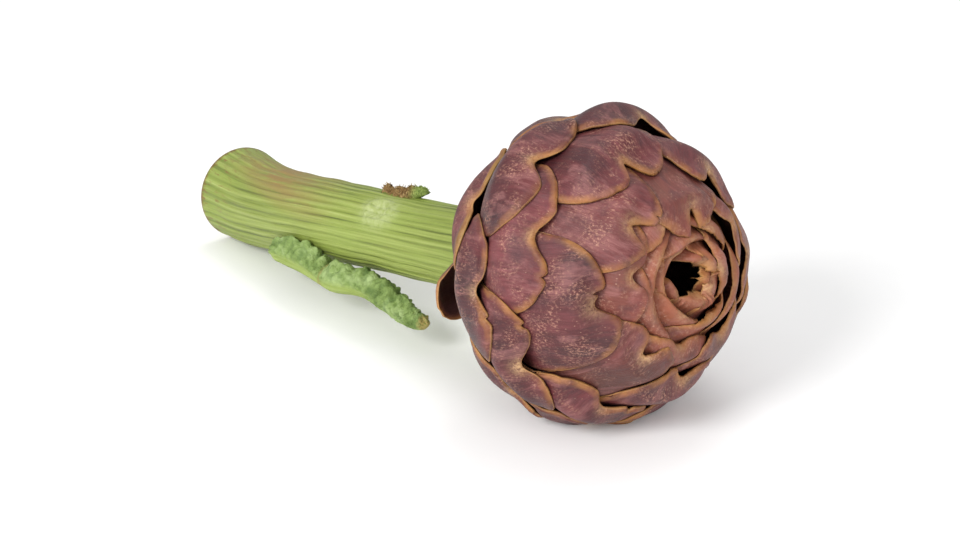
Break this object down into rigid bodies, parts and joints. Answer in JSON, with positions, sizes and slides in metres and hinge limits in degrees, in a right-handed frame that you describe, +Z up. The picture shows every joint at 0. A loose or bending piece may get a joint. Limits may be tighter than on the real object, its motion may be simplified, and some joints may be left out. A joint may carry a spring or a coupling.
{
  "type": "artichoke",
  "caption": "Purple globe artichoke with a ribbed green stem, cut and lying on its side, for food displays and kitchen scenes.",
  "frame": {"origin": "under the middle of the whole, on the surface that it lies on", "axes": "+X from the cut end of the stem to the tip of the head, +Z up, +Y to the left when looking along +X"},
  "size_m": [0.2336, 0.1, 0.0965],
  "materials": {
    "bract": "matt waxy plum-purple skin with fine lengthwise fibres and a tan margin",
    "inner_bract": "thinner tan-purple skin, paler at the tip",
    "stem": "satin pale green, ribbed lengthwise, brown at the cut end",
    "choke": "dense fine bristles",
    "leaf": "matt crinkled green blade with a smooth pale midrib",
    "stub": "dry torn brown fibres with a green flap"
  },
  "bodies": {
    "root": {"bract_00": "bract", "bract_01": "bract", "bract_02": "bract", "bract_03": "bract", "bract_04": "bract", "bract_05": "bract", "bract_06": "bract", "bract_07": "bract", "bract_08": "bract", "bract_09": "bract", "bract_10": "bract", "bract_11": "bract", "bract_12": "bract", "bract_13": "bract", "bract_14": "bract", "bract_15": "bract", "bract_16": "bract", "bract_17": "bract", "bract_18": "bract", "bract_19": "bract", "bract_20": "bract", "bract_21": "bract", "bract_22": "bract", "bract_23": "bract", "bract_24": "bract", "bract_25": "bract", "bract_26": "bract", "bract_27": "bract", "bract_28": "bract", "bract_29": "bract", "bract_30": "bract", "bract_31": "bract", "bract_32": "bract", "bract_33": "bract", "bract_34": "bract", "bract_35": "bract", "bract_36": "bract", "bract_37": "bract", "bract_38": "bract", "bract_39": "bract", "bract_40": "inner_bract", "bract_41": "inner_bract", "bract_42": "inner_bract", "bract_43": "inner_bract", "bract_44": "inner_bract", "bract_45": "inner_bract", "bract_46": "inner_bract", "bract_47": "inner_bract", "bract_48": "inner_bract", "bract_49": "inner_bract", "bract_50": "inner_bract", "bract_51": "inner_bract", "bract_52": "inner_bract", "stem_and_heart": "stem", "choke": "choke", "curled_leaf": "leaf", "torn_leaf_base": "stub"}
  },
  "joints": []
}
